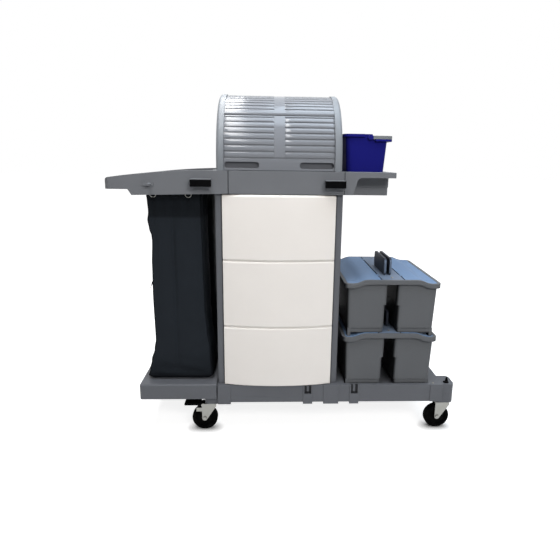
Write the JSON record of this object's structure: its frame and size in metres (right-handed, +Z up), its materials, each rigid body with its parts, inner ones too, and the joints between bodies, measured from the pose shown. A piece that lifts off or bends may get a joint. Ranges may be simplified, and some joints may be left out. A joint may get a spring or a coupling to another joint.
{
  "type": "multifunction cleaning trolley",
  "caption": "Wheeled cleaning trolley with a roll-top hood, bowed drawers, a laundry bag, stacked lidded mop boxes and a small bucket.",
  "frame": {"origin": "on the floor under the middle of the trolley's bounding box", "axes": "+Z up, the drawers face -Y, the push handle and laundry bag at -X, the mop boxes at +X"},
  "size_m": [1.301, 0.594, 1.295],
  "materials": {
    "deck_plastic": "satin",
    "base_plastic": "satin",
    "drawer_cream": "satin",
    "tub_plastic": "satin",
    "hood_plastic": "gloss",
    "bag_fabric": "woven",
    "lid_plastic": "satin",
    "bridge_plastic": "satin",
    "bucket_plastic": "gloss",
    "bail_plastic": "satin",
    "black_rubber": "matt",
    "tyre_rubber": "matt",
    "zinc_steel": "zinc plated"
  },
  "bodies": {
    "chassis": {"bag_frame": "deck_plastic", "centre_deck": "deck_plastic", "right_deck": "deck_plastic", "tool_clip_brackets": "deck_plastic", "sign_hook": "deck_plastic", "base_platform": "base_plastic", "bag_tray": "base_plastic", "side_panel_left": "base_plastic", "side_panel_right": "base_plastic", "back_panel": "base_plastic", "hood_cheek_left": "hood_plastic", "hood_cheek_right": "hood_plastic", "hood_rear_shell": "hood_plastic", "laundry_bag": "bag_fabric", "tool_clip_pads": "black_rubber", "stem_caps": "black_rubber", "caster_stems": "zinc_steel", "hood_pivot_pins": "zinc_steel", "bag_rings": "zinc_steel", "bag_hooks": "zinc_steel", "tray_arms": "zinc_steel", "drawer_runners_left": "zinc_steel", "drawer_runners_right": "zinc_steel"},
    "hood_cover": {"hood_cover": "hood_plastic", "hood_grip_cups": "hood_plastic"},
    "lower_box": {"lower_box": "tub_plastic", "lower_box_bridge": "bridge_plastic", "lower_box_lid_left": "lid_plastic", "lower_box_lid_right": "lid_plastic"},
    "upper_box": {"upper_box": "tub_plastic", "upper_box_bridge": "bridge_plastic"},
    "upper_lid_left": {"upper_box_lid_left": "lid_plastic"},
    "upper_lid_right": {"upper_box_lid_right": "lid_plastic"},
    "bucket": {"small_bucket": "bucket_plastic"},
    "bail": {"bucket_bail": "bail_plastic"},
    "drawer_bottom": {"drawer_front_bottom": "drawer_cream", "drawer_tub_bottom": "tub_plastic"},
    "drawer_middle": {"drawer_front_middle": "drawer_cream", "drawer_tub_middle": "tub_plastic"},
    "drawer_top": {"drawer_front_top": "drawer_cream", "drawer_tub_top": "tub_plastic"},
    "fork_front_left": {"caster_fork_front_left": "zinc_steel", "caster_axle_front_left": "zinc_steel"},
    "wheel_front_left": {"caster_wheel_front_left": "tyre_rubber"},
    "fork_rear_left": {"caster_fork_rear_left": "zinc_steel", "caster_axle_rear_left": "zinc_steel"},
    "wheel_rear_left": {"caster_wheel_rear_left": "tyre_rubber"},
    "fork_front_right": {"caster_fork_front_right": "zinc_steel", "caster_axle_front_right": "zinc_steel"},
    "wheel_front_right": {"caster_wheel_front_right": "tyre_rubber"},
    "fork_rear_right": {"caster_fork_rear_right": "zinc_steel", "caster_axle_rear_right": "zinc_steel"},
    "wheel_rear_right": {"caster_wheel_rear_right": "tyre_rubber"},
    "brake_front_left": {"brake_pedal_front_left": "black_rubber"},
    "brake_rear_left": {"brake_pedal_rear_left": "black_rubber"}
  },
  "joints": [
    {"name": "hood_roll", "type": "hinge", "parent": "chassis", "child": "hood_cover", "pos_m": [-0.0445, 0.017, 1.04], "axis": [-1, 0, 0], "range_deg": [0, 100]},
    {"name": "drawer_bottom_slide", "type": "slide", "parent": "chassis", "child": "drawer_bottom", "axis": [0, -1, 0], "range_m": [0, 0.36]},
    {"name": "drawer_middle_slide", "type": "slide", "parent": "chassis", "child": "drawer_middle", "axis": [0, -1, 0], "range_m": [0, 0.36]},
    {"name": "drawer_top_slide", "type": "slide", "parent": "chassis", "child": "drawer_top", "axis": [0, -1, 0], "range_m": [0, 0.36]},
    {"name": "swivel_front_left", "type": "hinge", "parent": "chassis", "child": "fork_front_left", "pos_m": [-0.3055, -0.195, 0.112], "axis": [0, 0, 1], "continuous": true},
    {"name": "roll_front_left", "type": "hinge", "parent": "fork_front_left", "child": "wheel_front_left", "pos_m": [-0.3315, -0.195, 0.05], "axis": [0, 1, 0], "continuous": true},
    {"name": "swivel_rear_left", "type": "hinge", "parent": "chassis", "child": "fork_rear_left", "pos_m": [-0.3055, 0.229, 0.112], "axis": [0, 0, 1], "continuous": true},
    {"name": "roll_rear_left", "type": "hinge", "parent": "fork_rear_left", "child": "wheel_rear_left", "pos_m": [-0.3315, 0.229, 0.05], "axis": [0, 1, 0], "continuous": true},
    {"name": "swivel_front_right", "type": "hinge", "parent": "chassis", "child": "fork_front_right", "pos_m": [0.6285, -0.195, 0.112], "axis": [0, 0, 1], "continuous": true},
    {"name": "roll_front_right", "type": "hinge", "parent": "fork_front_right", "child": "wheel_front_right", "pos_m": [0.6025, -0.195, 0.05], "axis": [0, 1, 0], "continuous": true},
    {"name": "swivel_rear_right", "type": "hinge", "parent": "chassis", "child": "fork_rear_right", "pos_m": [0.6285, 0.229, 0.112], "axis": [0, 0, 1], "continuous": true},
    {"name": "roll_rear_right", "type": "hinge", "parent": "fork_rear_right", "child": "wheel_rear_right", "pos_m": [0.6025, 0.229, 0.05], "axis": [0, 1, 0], "continuous": true},
    {"name": "brake_front_left", "type": "hinge", "parent": "fork_front_left", "child": "brake_front_left", "pos_m": [-0.3375, -0.195, 0.106], "axis": [0, -1, 0], "range_deg": [0, 10]},
    {"name": "brake_rear_left", "type": "hinge", "parent": "fork_rear_left", "child": "brake_rear_left", "pos_m": [-0.3375, 0.229, 0.106], "axis": [0, -1, 0], "range_deg": [0, 10]},
    {"name": "lower_box_lift", "type": "slide", "parent": "chassis", "child": "lower_box", "axis": [0, 0, 1], "range_m": [0, 0.06]},
    {"name": "upper_box_lift", "type": "slide", "parent": "lower_box", "child": "upper_box", "axis": [0, 0, 1], "range_m": [0, 0.1]},
    {"name": "upper_lid_left_hinge", "type": "hinge", "parent": "upper_box", "child": "upper_lid_left", "pos_m": [0.3365, -0.034, 0.6275], "axis": [0, 1, 0], "range_deg": [0, 90]},
    {"name": "upper_lid_right_hinge", "type": "hinge", "parent": "upper_box", "child": "upper_lid_right", "pos_m": [0.4225, -0.034, 0.6275], "axis": [0, -1, 0], "range_deg": [0, 90]},
    {"name": "bucket_lift", "type": "slide", "parent": "chassis", "child": "bucket", "axis": [0, 0, 1], "range_m": [0, 0.25]},
    {"name": "bail_swing", "type": "hinge", "parent": "bucket", "child": "bail", "pos_m": [0.285, -0.083, 1.1373], "axis": [0, -1, 0], "range_deg": [0, 115]}
  ]
}
